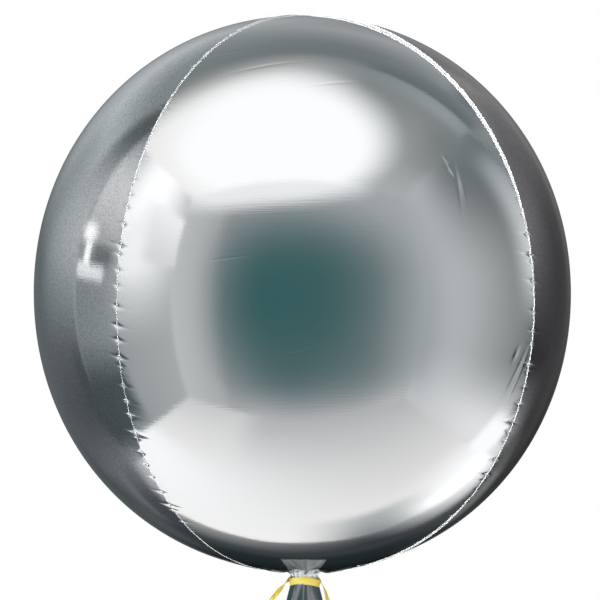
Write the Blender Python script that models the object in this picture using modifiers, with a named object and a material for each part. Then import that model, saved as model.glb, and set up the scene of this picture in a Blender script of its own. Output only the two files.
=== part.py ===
"""Orb foil balloon, in metres with +Z up and the origin at the middle of the envelope.

Four orange-peel panels of metallised film are heat-sealed edge to edge, so a thin fin stands out
along each seam. Below, the film is gathered into a neck, a ribbon is tied round it, and a flat
filling tail of two plies flares out with an open mouth. The envelope is kept as a 10 mm shell.
"""

import math

import bmesh
import bpy
from mathutils import Vector

OBJECT_NAME = "orb_foil_balloon"

# Envelope
MID_RADIUS = 0.1905
RIDGE_RADIUS = 0.1980
HALF_HEIGHT = 0.1975
PROFILE_POWER = 0.983
SHELL = 0.010
PANEL_COLUMNS = 12
PANEL_ROWS = 36
HALF_PANEL_TURN = math.radians(45.0)
SMOOTH_ANGLE = math.radians(40.0)

# Seams between the panels
FIN_THICKNESS = 0.0010
FIN_PROUD = 0.0030
TOUCH_GAP = 0.0003
FIN_STEPS = 46
PANEL_SETBACK = FIN_THICKNESS / 2 + TOUCH_GAP
FIN_FROM_AXIS = PANEL_SETBACK

# Neck, which hangs a little to the side of the axis
NECK_HOLE = 0.0120
NECK_SIDE_SHIFT = 0.0020
NECK_PLEATS = 14
PLEAT_SHARE = 0.05
STEPS_PER_PLEAT = 4

# Ribbon
RIBBON_WIDTH = 0.0050
RIBBON_THICKNESS = 0.0008
WRAP_Z = -0.2048
WRAP_RISE = 0.0009
WRAP_STEPS = 40
END_STEPS = 30
KNOT_SIZE = Vector((0.0080, 0.0042, 0.0066))
KNOT_ROUNDING = 0.3

# Filling tail
TAIL_TOP_Z = -0.2091
TAIL_LENGTH = 0.0445
TAIL_HALF_WIDTHS = (0.0104, 0.0210)
TAIL_BULGES = (0.0055, 0.0050)
TAIL_FOLDS = (0.0003, 0.0013)
FOLD_HALF_WAVES = 3
TAIL_SEAL_WIDTH = 0.0035
TAIL_PLY = 0.0010
TAIL_COLUMNS = 20
TAIL_ROWS = 8
SEAL_COLUMNS = 2

# name, azimuth that the panel faces
PANELS = (
    ("panel_front", -90.0),
    ("panel_right", 0.0),
    ("panel_back", 90.0),
    ("panel_left", 180.0),
)

# name, azimuth of the seam
SEAMS = (
    ("seam_front_right", -45.0),
    ("seam_back_right", 45.0),
    ("seam_back_left", 135.0),
    ("seam_front_left", -135.0),
)

# height, half width along X, half depth along Y, share of the pleats, share of the side shift
NECK_SECTIONS = (
    (-0.1880, 0.0117, 0.0117, 0.0, 0.0),
    (-0.1976, 0.0117, 0.0117, 0.0, 0.0),
    (-0.1988, 0.0106, 0.0094, 0.4, 0.3),
    (-0.2000, 0.0099, 0.0072, 0.9, 0.8),
    (-0.2008, 0.0098, 0.0065, 1.0, 1.0),
    (-0.2075, 0.0098, 0.0065, 1.0, 1.0),
    (-0.2087, 0.0102, 0.0067, 1.0, 1.0),
)

# Route of each free ribbon end, from the knot behind the neck: x, y, z, tilt in degrees
RIBBON_ROUTES = {
    "ribbon_end_left": (
        (-0.0023, 0.0101, -0.2050, 0.0),
        (-0.0072, 0.0092, -0.2048, 0.0),
        (-0.0110, 0.0056, -0.2050, 0.0),
        (-0.0132, 0.0010, -0.2070, 0.0),
        (-0.0170, -0.0024, -0.2118, 30.0),
        (-0.0214, -0.0034, -0.2187, 70.0),
        (-0.0250, -0.0024, -0.2290, 90.0),
        (-0.0270, 0.0008, -0.2420, 95.0),
        (-0.0256, 0.0044, -0.2560, 85.0),
        (-0.0226, 0.0048, -0.2700, 70.0),
        (-0.0206, 0.0030, -0.2800, 60.0),
    ),
    "ribbon_end_right": (
        (0.0063, 0.0101, -0.2050, 0.0),
        (0.0112, 0.0092, -0.2048, 0.0),
        (0.0148, 0.0054, -0.2052, 0.0),
        (0.0160, 0.0006, -0.2080, 0.0),
        (0.0170, -0.0026, -0.2130, -15.0),
        (0.0177, -0.0036, -0.2187, -45.0),
        (0.0194, -0.0024, -0.2290, -75.0),
        (0.0226, 0.0006, -0.2400, -90.0),
        (0.0262, 0.0036, -0.2520, -85.0),
        (0.0280, 0.0034, -0.2640, -70.0),
        (0.0276, 0.0012, -0.2740, -60.0),
    ),
}

# name, colour, metallic, roughness
MATERIALS = (
    ("silver_film", (0.74, 0.75, 0.77), 1.0, 0.08),
    ("seam_film", (0.80, 0.81, 0.82), 1.0, 0.22),
    ("tail_film", (0.42, 0.44, 0.47), 1.0, 0.15),
    ("yellow_ribbon", (0.80, 0.60, 0.11), 0.0, 0.35),
)


def clear_scene():
    for obj in list(bpy.data.objects):
        bpy.data.objects.remove(obj, do_unlink=True)


def make_materials():
    made = {}
    for name, colour, metallic, roughness in MATERIALS:
        material = bpy.data.materials.new(name)
        material.use_nodes = True
        shader = material.node_tree.nodes["Principled BSDF"]
        shader.inputs["Base Color"].default_value = (*colour, 1.0)
        shader.inputs["Metallic"].default_value = metallic
        shader.inputs["Roughness"].default_value = roughness
        made[name] = material
    return made


def add_node(name, data, material, collection, root):
    obj = bpy.data.objects.new(name, data)
    obj.data.materials.append(material)
    obj.parent = root
    collection.objects.link(obj)
    return obj


def mesh_from(bm, name):
    bmesh.ops.recalc_face_normals(bm, faces=bm.faces[:])
    mesh = bpy.data.meshes.new(name)
    bm.to_mesh(mesh)
    bm.free()
    return mesh


def slimming(latitude):
    """Share of the equator's radius that is left at this latitude."""
    return max(math.cos(latitude), 0.0) ** PROFILE_POWER


def rise(half_height, latitude):
    up = math.sin(latitude)
    return half_height * math.copysign(abs(up) ** PROFILE_POWER, up)


def latitude_at(radius, equator_radius):
    """The southern latitude where the profile has come in to this radius."""
    return -math.acos((radius / equator_radius) ** (1 / PROFILE_POWER))


def bowed_radius(middle, ridge, turn):
    """Radius of the arc that runs through a panel's middle and both of its ridges."""
    past_axis = (ridge**2 - middle**2) / (2 * middle - math.sqrt(2) * ridge)
    reach = middle + past_axis
    return math.sqrt(reach**2 - (past_axis * math.sin(turn)) ** 2) - past_axis * math.cos(turn)


def panel_point(latitude, turn, inset):
    """A point of a panel that faces +X: turn is its angle from the middle, inset its depth."""
    share = slimming(latitude)
    corner = PANEL_SETBACK * math.sqrt(2)
    middle = (MID_RADIUS - inset) * share - corner
    ridge = (RIDGE_RADIUS - inset) * share - PANEL_SETBACK
    height = rise(HALF_HEIGHT - inset, latitude)
    if middle <= 0:
        return Vector((corner, 0, height))
    radius = bowed_radius(middle, ridge, turn)
    return Vector((corner + radius * math.cos(turn), radius * math.sin(turn), height))


def panel_mesh():
    """A quarter of a sphere's skin, doubled by extrusion and drawn out to the panel's two faces."""
    bm = bmesh.new()
    bmesh.ops.create_uvsphere(
        bm, u_segments=4 * PANEL_COLUMNS, v_segments=PANEL_ROWS, radius=1.0
    )
    ring_step = math.pi / PANEL_ROWS
    lowest_ring = -math.pi / 2 + ring_step
    outside = []
    for face in bm.faces:
        middle = face.calc_center_median()
        turn = math.atan2(middle.y, middle.x)
        below = any(math.asin(max(-1.0, v.co.z)) < lowest_ring - ring_step / 2 for v in face.verts)
        if abs(turn) > HALF_PANEL_TURN or below:
            outside.append(face)
    bmesh.ops.delete(bm, geom=outside, context="FACES")
    doubled = bmesh.ops.extrude_face_region(bm, geom=bm.faces[:], use_keep_orig=True)
    inner = {v for v in doubled["geom"] if isinstance(v, bmesh.types.BMVert)}
    for vert in bm.verts:
        inset = SHELL if vert in inner else 0.0
        latitude = math.asin(max(-1.0, min(1.0, vert.co.z)))
        turn = math.atan2(vert.co.y, vert.co.x)
        lowest = latitude_at(NECK_HOLE, MID_RADIUS - inset)
        stretch = (math.pi / 2 - lowest) / (math.pi / 2 - lowest_ring)
        latitude = math.pi / 2 - (math.pi / 2 - latitude) * stretch
        vert.co = panel_point(latitude, turn, inset)
    return mesh_from(bm, "panel")


def build_panels(collection, root, material):
    mesh = panel_mesh()
    for name, azimuth in PANELS:
        panel = add_node(name, mesh.copy(), material, collection, root)
        panel.rotation_euler.z = math.radians(azimuth)
        panel.data.shade_smooth()
        panel.data.set_sharp_from_angle(angle=SMOOTH_ANGLE)


def meridian(proud):
    """Points of the seam's profile from the top to the neck, moved out by proud."""
    lowest = latitude_at(NECK_HOLE, RIDGE_RADIUS + proud)
    points = []
    for step in range(FIN_STEPS + 1):
        latitude = math.pi / 2 + (lowest - math.pi / 2) * step / FIN_STEPS
        radius = (RIDGE_RADIUS + proud) * slimming(latitude)
        points.append((max(radius, FIN_FROM_AXIS), rise(HALF_HEIGHT + proud, latitude)))
    return points


def build_seams(collection, root, material):
    outline = meridian(FIN_PROUD) + meridian(-SHELL)[::-1]
    for name, azimuth in SEAMS:
        curve = bpy.data.curves.new(name, "CURVE")
        curve.dimensions = "2D"
        curve.fill_mode = "BOTH"
        curve.extrude = FIN_THICKNESS / 2
        spline = curve.splines.new("POLY")
        spline.points.add(len(outline) - 1)
        for point, (radius, height) in zip(spline.points, outline):
            point.co = (radius, height, 0.0, 1.0)
        spline.use_cyclic_u = True
        seam = add_node(name, curve, material, collection, root)
        seam.rotation_euler = (math.radians(90.0), 0.0, math.radians(azimuth))


def build_neck(collection, root, material):
    """A cylinder with a ring for each section, pleated where the film is gathered."""
    bm = bmesh.new()
    bmesh.ops.create_cone(
        bm,
        cap_ends=True,
        segments=NECK_PLEATS * STEPS_PER_PLEAT,
        radius1=1.0,
        radius2=1.0,
        depth=1.0,
    )
    upright = [e for e in bm.edges if abs(e.verts[0].co.z - e.verts[1].co.z) > 0.5]
    bmesh.ops.subdivide_edges(bm, edges=upright, cuts=len(NECK_SECTIONS) - 2)
    for vert in bm.verts:
        ring = round((0.5 - vert.co.z) * (len(NECK_SECTIONS) - 1))
        height, half_width, half_depth, pleated, shifted = NECK_SECTIONS[ring]
        angle = math.atan2(vert.co.y, vert.co.x)
        fold = 1.0 + PLEAT_SHARE * pleated * math.cos(NECK_PLEATS * angle)
        vert.co = (
            NECK_SIDE_SHIFT * shifted + half_width * fold * math.cos(angle),
            half_depth * fold * math.sin(angle),
            height,
        )
    neck = add_node("neck_gather", mesh_from(bm, "neck_gather"), material, collection, root)
    neck.data.shade_smooth()
    neck.data.set_sharp_from_angle(angle=SMOOTH_ANGLE)


def between(ends, share):
    return ends[0] + (ends[1] - ends[0]) * share


def tail_point(across, down, side):
    """A point of a ply's middle surface: across runs from -1 to 1, down from 0 to 1."""
    half_width = between(TAIL_HALF_WIDTHS, down)
    sealed_from = 1.0 - 2.0 * SEAL_COLUMNS / TAIL_COLUMNS
    free_width = half_width - TAIL_SEAL_WIDTH
    seal_plane = (TAIL_PLY + TOUCH_GAP) / 2
    if abs(across) < sealed_from:
        share = across / sealed_from
        x = free_width * share
        arch = 1.0 - share**2
        fold = between(TAIL_FOLDS, down) * math.cos(FOLD_HALF_WAVES * math.pi * share)
        out = seal_plane + arch * (between(TAIL_BULGES, down) + fold)
    else:
        beyond = (abs(across) - sealed_from) / (1.0 - sealed_from)
        x = math.copysign(free_width + TAIL_SEAL_WIDTH * beyond, across)
        out = seal_plane
    return Vector((NECK_SIDE_SHIFT + x, side * out, TAIL_TOP_Z - TAIL_LENGTH * down))


def build_tail(collection, root, material):
    for name, side in (("tail_front", -1.0), ("tail_back", 1.0)):
        bm = bmesh.new()
        bmesh.ops.create_grid(
            bm, x_segments=TAIL_COLUMNS, y_segments=TAIL_ROWS, size=1.0
        )
        for vert in bm.verts:
            vert.co = tail_point(vert.co.x, (1.0 - vert.co.y) / 2, side)
        ply = add_node(name, mesh_from(bm, name), material, collection, root)
        skin = ply.modifiers.new("film", "SOLIDIFY")
        skin.thickness = TAIL_PLY
        skin.offset = 0.0
        skin.use_even_offset = True
        ply.data.shade_smooth()


def ribbon_curve(name, points, tilts, cyclic):
    curve = bpy.data.curves.new(name, "CURVE")
    curve.dimensions = "3D"
    curve.fill_mode = "FULL"
    curve.twist_mode = "Z_UP" if cyclic else "MINIMUM"
    curve.bevel_depth = RIBBON_THICKNESS / 2
    curve.bevel_resolution = 1
    curve.extrude = (RIBBON_WIDTH - RIBBON_THICKNESS) / 2
    curve.use_fill_caps = not cyclic
    spline = curve.splines.new("POLY")
    spline.points.add(len(points) - 1)
    for place, co, tilt in zip(spline.points, points, tilts):
        place.co = (*co, 1.0)
        place.tilt = math.radians(tilt)
    spline.use_cyclic_u = cyclic
    return curve


def build_wrap(collection, root, material):
    """The turn of ribbon round the neck, raised at the front and back and pulled down at the sides."""
    clear = TOUCH_GAP + RIBBON_THICKNESS / 2
    half_width = NECK_SECTIONS[-2][1] * (1 + PLEAT_SHARE) + clear
    half_depth = NECK_SECTIONS[-2][2] * (1 + PLEAT_SHARE) + clear
    points = []
    for step in range(WRAP_STEPS):
        angle = 2 * math.pi * step / WRAP_STEPS
        points.append(
            Vector(
                (
                    NECK_SIDE_SHIFT + half_width * math.cos(angle),
                    half_depth * math.sin(angle),
                    WRAP_Z - WRAP_RISE * math.cos(2 * angle),
                )
            )
        )
    curve = ribbon_curve("ribbon_wrap", points, [0.0] * WRAP_STEPS, True)
    add_node("ribbon_wrap", curve, material, collection, root)
    return half_depth + RIBBON_THICKNESS / 2


def build_knot(collection, root, material, wrap_back):
    """A soft flattened lump of ribbon behind the neck."""
    bm = bmesh.new()
    bmesh.ops.create_cube(bm, size=1.0)
    bmesh.ops.scale(bm, vec=KNOT_SIZE, verts=bm.verts[:])
    bmesh.ops.bevel(
        bm,
        geom=bm.edges[:],
        offset=KNOT_SIZE.y * KNOT_ROUNDING,
        segments=2,
        profile=0.5,
        affect="EDGES",
    )
    knot = add_node("ribbon_knot", mesh_from(bm, "ribbon_knot"), material, collection, root)
    back = wrap_back + TOUCH_GAP + KNOT_SIZE.y / 2
    knot.location = (NECK_SIDE_SHIFT, back, WRAP_Z + WRAP_RISE)
    knot.data.shade_smooth()


def smooth_route(route, steps):
    """Evenly shared points and tilts on the Catmull-Rom curve through the route."""
    places = [Vector(row) for row in route]
    first = places[0] * 2 - places[1]
    last = places[-1] * 2 - places[-2]
    knots = [first, *places, last]
    points, tilts = [], []
    for step in range(steps + 1):
        along = (len(places) - 1) * step / steps
        index = min(int(along), len(places) - 2)
        t = along - index
        a, b, c, d = knots[index : index + 4]
        value = (
            b * 2
            + (c - a) * t
            + (a * 2 - b * 5 + c * 4 - d) * t**2
            + (b * 3 - a - c * 3 + d) * t**3
        ) / 2
        points.append(value.xyz)
        tilts.append(value.w)
    return points, tilts


def build_ribbon_ends(collection, root, material):
    for name, route in RIBBON_ROUTES.items():
        points, tilts = smooth_route(route, END_STEPS)
        add_node(name, ribbon_curve(name, points, tilts, False), material, collection, root)


def main():
    clear_scene()
    collection = bpy.data.collections.new(OBJECT_NAME)
    bpy.context.scene.collection.children.link(collection)
    root = bpy.data.objects.new("balloon_root", None)
    collection.objects.link(root)
    materials = make_materials()
    build_panels(collection, root, materials["silver_film"])
    build_seams(collection, root, materials["seam_film"])
    build_neck(collection, root, materials["tail_film"])
    build_tail(collection, root, materials["tail_film"])
    wrap_back = build_wrap(collection, root, materials["yellow_ribbon"])
    build_knot(collection, root, materials["yellow_ribbon"], wrap_back)
    build_ribbon_ends(collection, root, materials["yellow_ribbon"])


main()
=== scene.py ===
"""Looks of the orb foil balloon: panels with creased heat seals, neck, filling tail and ribbon.

Metres, +Z up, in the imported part's frame. Run as a script, it dresses the part and sets its studio.
"""

import math

import bmesh
import bpy
import numpy as np
from bpy.props import FloatProperty, FloatVectorProperty, IntProperty, PointerProperty
from mathutils import Matrix, Vector


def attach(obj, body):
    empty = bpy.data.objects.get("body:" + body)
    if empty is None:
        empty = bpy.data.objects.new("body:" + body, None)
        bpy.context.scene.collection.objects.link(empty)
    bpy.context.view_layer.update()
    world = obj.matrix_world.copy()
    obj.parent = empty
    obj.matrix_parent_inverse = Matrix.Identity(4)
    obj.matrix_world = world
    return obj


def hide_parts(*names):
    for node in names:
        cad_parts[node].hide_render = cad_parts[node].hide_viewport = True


bl_info = {
    "name": "Orb foil balloon",
    "version": (1, 0, 0),
    "blender": (4, 5, 0),
    "location": "View3D > Sidebar > Balloon",
    "description": "Dresses an orb foil balloon and lights it in a tent",
    "category": "Add Mesh",
}

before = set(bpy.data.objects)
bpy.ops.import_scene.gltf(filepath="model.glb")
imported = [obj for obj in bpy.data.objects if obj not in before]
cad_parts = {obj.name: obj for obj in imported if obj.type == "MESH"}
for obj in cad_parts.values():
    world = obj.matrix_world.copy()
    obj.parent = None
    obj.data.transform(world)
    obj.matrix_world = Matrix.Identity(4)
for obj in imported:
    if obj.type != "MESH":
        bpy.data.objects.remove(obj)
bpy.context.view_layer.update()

BODY = "root"

# name, azimuth that the panel faces in degrees, numbers of the seams at its two edges
PANELS = (
    ("panel_front", -90.0, 0, 1),
    ("panel_right", 0.0, 1, 2),
    ("panel_back", 90.0, 2, 3),
    ("panel_left", 180.0, 3, 0),
)

# name, azimuth in degrees, number, lean of the fin to the right, as seen from outside, in degrees,
# share of the fin's height
SEAMS = (
    ("seam_front_left", -135.0, 0, 30.0, 0.60),
    ("seam_front_right", -45.0, 1, -12.0, 1.0),
    ("seam_back_right", 45.0, 2, 18.0, 0.9),
    ("seam_back_left", 135.0, 3, -22.0, 0.8),
)

# Route of each free ribbon end, from the knot behind the neck: x, y, z, tilt in degrees
RIBBON_ROUTES = {
    "ribbon_end_left": (
        (-0.0023, 0.0101, -0.2064, 165.0),
        (-0.0066, 0.0088, -0.2064, 160.0),
        (-0.0098, 0.0046, -0.2068, 150.0),
        (-0.0122, 0.0006, -0.2084, 138.0),
        (-0.0163, -0.0022, -0.2126, 98.0),
        (-0.0222, -0.0034, -0.2196, 100.0),
        (-0.0257, -0.0026, -0.2292, 115.0),
        (-0.0270, 0.0008, -0.2420, 100.0),
        (-0.0256, 0.0044, -0.2560, 70.0),
        (-0.0226, 0.0048, -0.2700, 45.0),
        (-0.0206, 0.0030, -0.2800, 30.0),
    ),
    "ribbon_end_right": (
        (0.0063, 0.0101, -0.2064, 15.0),
        (0.0106, 0.0088, -0.2064, 20.0),
        (0.0134, 0.0046, -0.2070, 30.0),
        (0.0146, 0.0004, -0.2094, 38.0),
        (0.0166, -0.0024, -0.2136, 52.0),
        (0.0180, -0.0036, -0.2196, 70.0),
        (0.0196, -0.0024, -0.2290, 85.0),
        (0.0226, 0.0006, -0.2400, 110.0),
        (0.0262, 0.0036, -0.2520, 140.0),
        (0.0280, 0.0034, -0.2640, 165.0),
        (0.0276, 0.0012, -0.2740, 175.0),
    ),
}

# Steps along each free ribbon end
RIBBON_STEPS = 130

# Turns of ribbon round the neck: first and last angle in degrees, way out from the neck, rise at
# the front, drop
RIBBON_TURNS = (
    (-270.0, 90.0, 0.0002, 0.0015, 0.0001),
    (-97.0, 90.0, 0.0007, 0.0012, -0.0004),
)

# Steps round each turn
TURN_STEPS = 120

# Half width and half depth of the neck under the ribbon, its height, and how far the turns slope
TIED_HALF_SIZES = (0.0104, 0.0069)
TIED_HEIGHT = -0.2066
TIED_SLOPE = 0.0008

# The knot behind the neck: place along Y and Z, half sizes, and how square it is along each axis
KNOT_PLACE = (0.01032, -0.2056)
KNOT_HALF_SIZES = (0.0040, 0.0020, 0.0032)
KNOT_POWERS = (0.8, 0.9, 0.8)

# The tent's sheets and lamps by wall, in the order in which they lie on it. The camera looks along
# +Y. Name, centre across and up, half size across and up, soft edge across and up as a share,
# colour at the low end, colour at the high end, the way that it runs, strength
STUDIO_CARDS = {
    "left": (
        ("left_mist", 1.47, 0.64, 2.35, 1.29, 0.85, 1.00, "#dbdcde", "#5a6b6d", "across", 1.00),
        ("left_gloom", 2.43, -2.69, 2.35, 1.80, 0.30, 0.90, "#9d9fa2", "#45494d", "across", 1.00),
        ("left_gap", 1.02, 1.82, 0.58, 1.26, 0.80, 0.91, "#80888a", "#0a100e", "up", 1.00),
        ("tent_left", -0.60, 0.05, 1.40, 1.95, 0.00, 0.00, "#aeb1b1", "#82898b", "across", 1.00),
        ("left_low", 0.15, -1.13, 1.06, 0.83, 0.25, 0.70, "#535c5f", "#464e50", "across", 1.00),
        ("left_lamp", -1.04, 1.51, 1.32, 2.21, 0.96, 0.76, "#ffffff", "#ffffff", "up", 1.15),
        ("left_corner", 0.36, 0.83, 0.50, 1.05, 0.40, 0.98, "#8b8d8b", "#ffffff", "up", 1.00),
        ("left_dusk", 0.20, 0.32, 0.30, 0.13, 0.70, 0.60, "#686d6f", "#7c8284", "up", 1.00),
        ("left_window", 0.59, 0.48, 0.28, 0.14, 0.85, 0.85, "#ffffff", "#ffffff", "up", 1.25),
        ("left_pane", 0.53, 0.29, 0.09, 0.13, 0.50, 0.40, "#ffffff", "#ffffff", "up", 1.20),
        ("left_shelf", 0.44, 0.15, 0.34, 0.08, 0.20, 0.45, "#dfe3e5", "#ffffff", "up", 1.00),
        ("left_flap", -1.64, 0.95, 0.92, 0.52, 0.66, 0.23, "#d7d7d6", "#fcfcfb", "up", 1.03),
        ("left_glow", -0.99, 0.64, 0.44, 0.62, 0.90, 0.90, "#ffffff", "#ffffff", "up", 0.98),
        ("left_hem", 0.75, -0.23, 0.04, 0.75, 0.64, 0.68, "#51585a", "#bcc2c4", "up", 1.00),
    ),
    "right": (
        ("right_gloom", 2.89, -0.38, 2.59, 2.71, 0.82, 0.97, "#303135", "#514d4c", "across", 1.00),
        ("right_mist", 2.94, 2.25, 2.79, 0.81, 0.80, 0.99, "#31333e", "#a6a39f", "across", 1.00),
        ("tent_right", -0.75, 0.05, 1.25, 1.95, 0.00, 0.00, "#dddfe0", "#585e5d", "across", 1.00),
        ("right_near", -1.96, 0.49, 1.21, 2.95, 0.99, 0.51, "#989d9f", "#b6babc", "up", 1.00),
        ("right_shade", -0.13, 1.82, 1.65, 1.68, 0.89, 1.00, "#1a2f30", "#a3a8a9", "up", 1.00),
        ("right_low", 0.04, -1.66, 2.40, 1.08, 0.99, 0.94, "#e6e3e3", "#f1f2f1", "up", 1.00),
        ("right_edge", 0.22, 0.84, 0.47, 1.20, 0.94, 0.59, "#ffffff", "#3f555d", "up", 1.00),
        ("right_gap", 0.66, -1.22, 0.38, 0.46, 0.50, 0.50, "#7c7e80", "#7c7e80", "up", 1.00),
        ("right_foot", 0.37, -1.62, 0.37, 0.49, 0.53, 0.58, "#ffffff", "#ffffff", "up", 1.09),
    ),
    "floor": (
        ("under_gloom", 0.70, 3.11, 2.90, 1.21, 0.33, 1.00, "#44494d", "#888988", "across", 1.00),
        ("tent_floor", 0.00, -0.60, 2.00, 1.40, 0.00, 0.00, "#b8b9ba", "#fdfaf6", "up", 1.00),
        ("floor_shade", 0.59, 0.53, 0.71, 0.44, 0.96, 0.53, "#bcbfbe", "#425054", "up", 1.00),
        ("floor_right", 1.69, 0.71, 1.34, 1.05, 0.97, 0.60, "#ffffff", "#ffffff", "up", 1.11),
        ("floor_left", -2.20, -0.08, 3.50, 1.66, 0.97, 0.94, "#ffffff", "#ffffff", "up", 1.07),
        ("floor_corner", -1.57, -1.48, 1.14, 0.91, 0.47, 0.38, "#c5c5c5", "#f7f5f3", "up", 1.00),
        ("under_band", 0.11, 1.67, 2.39, 0.54, 0.47, 0.68, "#464c50", "#4a4b4d", "across", 1.00),
        ("under_dark", 0.06, 3.20, 1.30, 2.10, 0.70, 0.33, "#263032", "#020304", "up", 1.00),
        ("floor_streak", 1.62, 0.69, 0.83, 0.26, 0.63, 0.66, "#ffffff", "#ffffff", "up", 1.26),
    ),
    "front": (
        ("tent_front", 0.00, 0.05, 2.00, 1.95, 0.00, 0.00, "#959998", "#abafb1", "across", 1.00),
        ("front_side", -1.58, 0.05, 0.68, 2.42, 0.45, 0.20, "#c7cac9", "#acadae", "across", 1.00),
        ("front_foot", 0.53, -2.03, 2.23, 0.97, 0.58, 0.98, "#bbbdbe", "#cdcac9", "across", 1.00),
        ("camera_opening", 0.47, -0.26, 1.98, 2.04, 0.79, 0.76, "#08484c", "#8c9493", "across",
         1.00),
        ("opening_core", -0.08, 0.05, 1.56, 1.63, 0.87, 0.98, "#315e5f", "#456565", "across", 1.00),
        ("front_glow", -0.52, 2.40, 2.20, 1.19, 0.36, 0.35, "#ffffff", "#ffffff", "up", 0.92),
    ),
    "top": (
        ("tent_top", 0.00, -0.62, 2.00, 1.38, 0.00, 0.00, "#b3b5b5", "#7a807f", "up", 1.00),
        ("top_back", 0.14, 0.48, 2.35, 0.38, 0.51, 0.84, "#080c0d", "#abb2b3", "across", 1.00),
        ("top_right", 2.07, -0.52, 0.89, 0.96, 0.83, 0.76, "#9d9e9c", "#657071", "up", 1.00),
        ("top_left", -1.20, -0.99, 1.91, 1.91, 0.50, 0.56, "#fdfaf5", "#faf9f7", "up", 1.00),
        ("top_lamp", -0.29, -1.24, 1.82, 1.73, 0.41, 0.30, "#ffffff", "#ffffff", "up", 1.10),
        ("top_edge", 1.30, 0.87, 0.95, 0.25, 0.45, 0.22, "#646b6e", "#7c8487", "up", 1.00),
    ),
}

# Cards that fade out from a round edge. The others fade out along straight ones.
ROUND_CARDS = ("left_window", "left_glow", "floor_right", "front_glow", "top_lamp")

# wall, its normal's axis, place on it, axis across, axis up
WALLS = {
    "left": (0, -2.0, 1, 2),
    "right": (0, 2.0, 1, 2),
    "front": (1, -2.0, 0, 2),
    "top": (2, 2.0, 0, 1),
    "floor": (2, -1.9, 0, 1),
}

# How far each card hangs before the one that it covers
CARD_STEP = 0.004

# Radius of the pale floor
FLOOR_RADIUS = 60.0

# The camera's sensor, in millimetres
SENSOR_WIDTH = 36.0

# Lamps that the mirroring film doesn't show: place, size, watts
FILL_LAMPS = (
    ((-0.9, -1.8, -0.30), 1.2, 42.0),
    ((1.1, -1.5, -0.60), 1.2, 16.0),
    ((-1.3, -1.3, 1.40), 1.2, 40.0),
    ((1.0, -1.1, 1.70), 1.0, 46.0),
    ((1.2, 1.5, -0.50), 1.2, 40.0),
    ((-1.2, 1.5, -0.30), 1.2, 40.0),
)

# The dark room behind the tent, from below to above in equal steps, to the left and to the right
ROOM = {
    "left": (
        "#15191b", "#1a2427", "#364043", "#494f52", "#5d6265", "#646c6e", "#a3a9ac", "#bfc4c6",
        "#8f9596", "#7d8384", "#6c7476",
    ),
    "right": (
        "#14181a", "#1d272b", "#262d30", "#3a3839", "#353334", "#605f60", "#827f80", "#78787a",
        "#a5a7a8", "#767d7f", "#697274",
    ),
}

# Sums of the film's surface, a row each: result, operation, operands by name or number
PANEL_ROWS = (
    ("across2", "MULTIPLY", "across", "across"),
    ("spread", "MULTIPLY_ADD", "across2", -0.46, 1.46),
    ("turn", "MULTIPLY", "across", "spread", math.pi / 4),
    ("azimuth", "ADD", "turn", "Facing"),
    ("sine_turn", "SINE", "turn"),
    ("aside", "MULTIPLY", "sine_turn", "Bow Centre"),
    ("aside2", "MULTIPLY", "aside", "aside"),
    ("reach2", "MULTIPLY", "Bow Reach", "Bow Reach"),
    ("left2", "SUBTRACT", "reach2", "aside2"),
    ("chord", "SQRT", "left2"),
    ("cosine_turn", "COSINE", "turn"),
    ("ahead", "MULTIPLY", "cosine_turn", "Bow Centre"),
    ("equator", "SUBTRACT", "chord", "ahead"),
    ("turn_size", "ABSOLUTE", "turn"),
    ("turn_left", "SUBTRACT", math.pi / 4, "turn_size"),
    ("side", "SIGN", "turn"),
    ("seam_gain", "SUBTRACT", "Right Seam", "Left Seam"),
    ("on_right", "GREATER_THAN", "turn", 0.0),
    ("Seam", "MULTIPLY_ADD", "seam_gain", "on_right", "Left Seam"),
)

PROFILE_ROWS = (
    ("from_top", "MULTIPLY", "down", "Span"),
    ("latitude", "SUBTRACT", math.pi / 2, "from_top"),
    ("cosine", "COSINE", "latitude"),
    ("cosine_up", "MAXIMUM", "cosine", 0.0),
    ("slim_free", "POWER", "cosine_up", "Profile Power"),
    ("last_row", "GREATER_THAN", "down", 0.9995),
    ("kept", "SUBTRACT", 1.0, "last_row"),
    ("slim", "MULTIPLY", "slim_free", "kept"),
    ("sine", "SINE", "latitude"),
    ("sine_size", "ABSOLUTE", "sine"),
    ("lift", "POWER", "sine_size", "Profile Power"),
    ("up_or_down", "SIGN", "sine"),
    ("height", "MULTIPLY", "lift", "up_or_down", "Half Height"),
    ("along", "MULTIPLY", "from_top", "Half Height"),
    ("end_turn", "SUBTRACT", "Span", "from_top"),
    ("from_neck", "MULTIPLY", "end_turn", "Half Height"),
    ("lowered", "ADD", "latitude", 0.21),
    ("lowered_cosine", "COSINE", "lowered"),
    ("tension", "MULTIPLY_ADD", "lowered_cosine", 7.5, -5.65),
    ("tension_top", "MINIMUM", "tension", 1.0),
    ("calm", "MAXIMUM", "tension_top", 0.08),
)

SKIN_ROWS = (
    ("radius", "MULTIPLY", "equator", "slim"),
    ("from_seam", "MULTIPLY", "turn_left", "radius"),
    ("across4", "MULTIPLY", "across2", "across2"),
    ("off_seam", "SUBTRACT", 1.0, "across4"),
    ("slim_many", "MULTIPLY", "slim", 25.0),
    ("off_end", "MINIMUM", "slim_many", 1.0),
    ("inward", "MULTIPLY", "off_seam", "off_end", "Depth", "skin", -1.0),
)

CREASE_ROWS = (
    ("slant", "MULTIPLY", "From Seam", "Side"),
    ("place", "MULTIPLY_ADD", "slant", 0.22, "Along"),
    ("steps", "DIVIDE", "place", "Crease Pitch"),
    ("where", "MULTIPLY_ADD", "Seam", 17.37, "steps"),
    ("gather_drift", "MULTIPLY_ADD", "From Neck", 3.0, "Seed"),
)

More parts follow.
